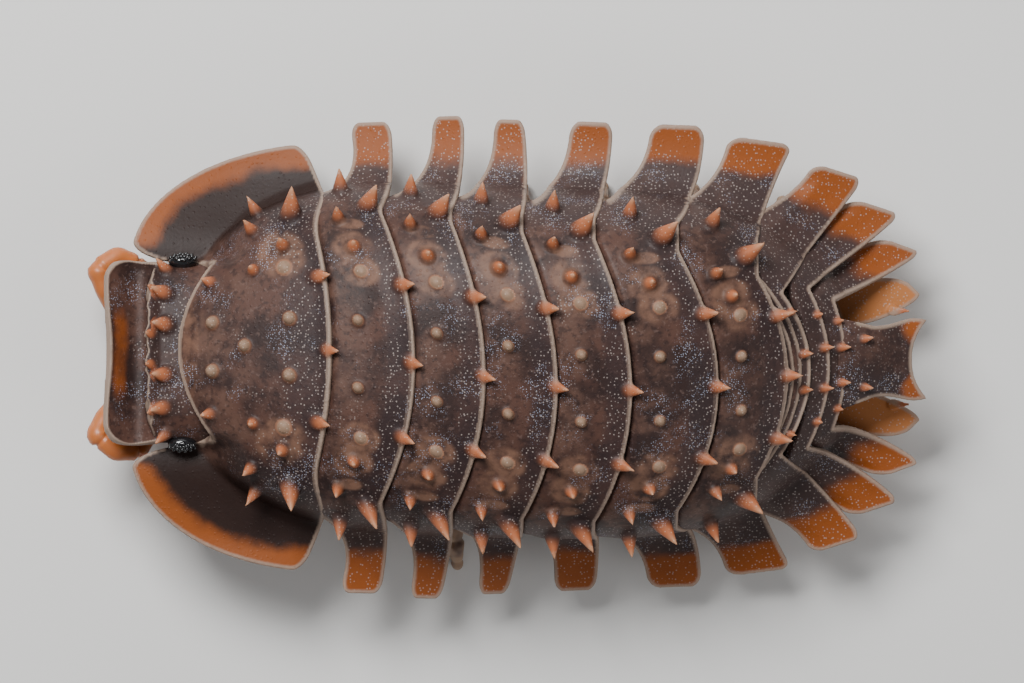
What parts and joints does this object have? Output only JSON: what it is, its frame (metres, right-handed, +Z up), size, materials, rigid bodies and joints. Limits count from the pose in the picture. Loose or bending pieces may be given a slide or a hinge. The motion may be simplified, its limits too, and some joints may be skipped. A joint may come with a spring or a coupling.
{
  "type": "woodlouse",
  "caption": "Spiny woodlouse standing at rest, its arched back in rows of knobs and spines, with flat lobes along each side, elbowed feelers and a hollow-edged tail plate.",
  "frame": {"origin": "middle of the overall footprint, on the floor under the feet", "axes": "+X from head to tail, +Y to the animal's right, +Z up"},
  "size_m": [0.0154, 0.0088, 0.0048],
  "materials": {
    "cuticle": "satin dark purple-brown shell with orange spines and orange lobes edged pale",
    "limb": "translucent pale brown leg cuticle",
    "feeler": "translucent orange feeler cuticle",
    "eye": "glossy black clustered lenses"
  },
  "bodies": {
    "root": {"antenna_left": "feeler", "antenna_right": "feeler", "eye_left": "eye", "eye_right": "eye", "head": "cuticle", "leg_left_1": "limb", "leg_left_2": "limb", "leg_left_3": "limb", "leg_left_4": "limb", "leg_left_5": "limb", "leg_left_6": "limb", "leg_left_7": "limb", "leg_right_1": "limb", "leg_right_2": "limb", "leg_right_3": "limb", "leg_right_4": "limb", "leg_right_5": "limb", "leg_right_6": "limb", "leg_right_7": "limb", "pereonite_1": "cuticle", "pereonite_2": "cuticle", "pereonite_3": "cuticle", "pereonite_4": "cuticle", "pereonite_5": "cuticle", "pereonite_6": "cuticle", "pereonite_7": "cuticle", "pleon": "cuticle", "telson": "cuticle", "uropod_left": "cuticle", "uropod_right": "cuticle"}
  },
  "joints": []
}
